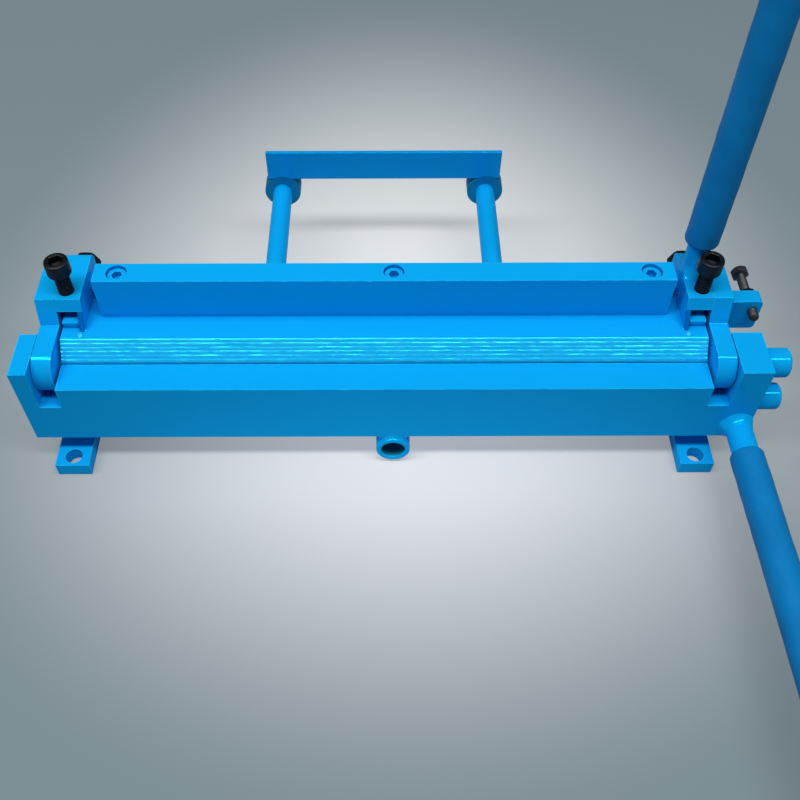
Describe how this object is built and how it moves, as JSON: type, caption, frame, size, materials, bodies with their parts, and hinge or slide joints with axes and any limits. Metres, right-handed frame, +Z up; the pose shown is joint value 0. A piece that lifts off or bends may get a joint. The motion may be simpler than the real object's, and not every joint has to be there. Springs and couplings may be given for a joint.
{
  "type": "sheet metal folder",
  "caption": "Blue painted bench folder for sheet metal, with a hinged bending leaf, a lever-worked clamp beam, a back gauge on rods and an adjustable angle stop.",
  "frame": {"origin": "on the bench plane, in the middle of the foot bolt pattern", "axes": "+X along the bending edge to the operator's right, +Y from the leaf to the back gauge, +Z up from the bench"},
  "size_m": [0.474, 0.478, 0.3631],
  "materials": {
    "blue_paint": "gloss",
    "blue_grip": "matte",
    "black_oxide": "satin"
  },
  "bodies": {
    "base": {"bed_bar": "blue_paint", "left_cheek": "blue_paint", "right_cheek": "blue_paint", "left_foot_bar": "blue_paint", "right_foot_bar": "blue_paint", "left_gauge_rod": "blue_paint", "right_gauge_rod": "blue_paint", "stop_bracket": "blue_paint", "stop_lock_nut": "black_oxide"},
    "leaf": {"bending_leaf": "blue_paint", "left_hinge_pin": "blue_paint", "right_hinge_pin": "blue_paint", "forming_pin": "blue_paint", "handle_socket": "blue_paint", "bend_lever_rod": "blue_paint", "bend_lever_grip": "blue_grip"},
    "clamp": {"clamp_plate": "blue_paint", "back_bar": "blue_paint", "back_bar_screws": "blue_paint", "left_end_angle": "blue_paint", "right_end_angle": "blue_paint", "left_clamp_arm": "blue_paint", "right_clamp_arm": "blue_paint", "clamp_shaft": "blue_paint", "arm_set_bolts": "black_oxide", "clamp_lever_rod": "blue_paint", "clamp_lever_grip": "blue_grip"},
    "left_screw": {"left_adjusting_screw": "black_oxide"},
    "right_screw": {"right_adjusting_screw": "black_oxide"},
    "gauge": {"gauge_plate": "blue_paint", "left_gauge_collar": "blue_paint", "right_gauge_collar": "blue_paint", "collar_set_screws": "black_oxide"},
    "angle_stop": {"stop_bolt": "black_oxide"}
  },
  "joints": [
    {"name": "leaf_fold", "type": "hinge", "parent": "base", "child": "leaf", "pos_m": [0, -0.03, 0.073], "axis": [-1, 0, 0], "range_deg": [0, 120]},
    {"name": "clamp_lift", "type": "hinge", "parent": "base", "child": "clamp", "pos_m": [0, 0.0225, 0.0915], "axis": [1, 0, 0], "range_deg": [-15, 0]},
    {"name": "left_screw_travel", "type": "slide", "parent": "clamp", "child": "left_screw", "axis": [0, 0, 1], "range_m": [0, 0.012]},
    {"name": "right_screw_travel", "type": "slide", "parent": "clamp", "child": "right_screw", "axis": [0, 0, 1], "range_m": [0, 0.012]},
    {"name": "gauge_slide", "type": "slide", "parent": "base", "child": "gauge", "axis": [0, 1, 0], "range_m": [-0.1, 0]},
    {"name": "stop_travel", "type": "slide", "parent": "base", "child": "angle_stop", "axis": [0, 1, 0], "range_m": [-0.008, 0.012]}
  ]
}
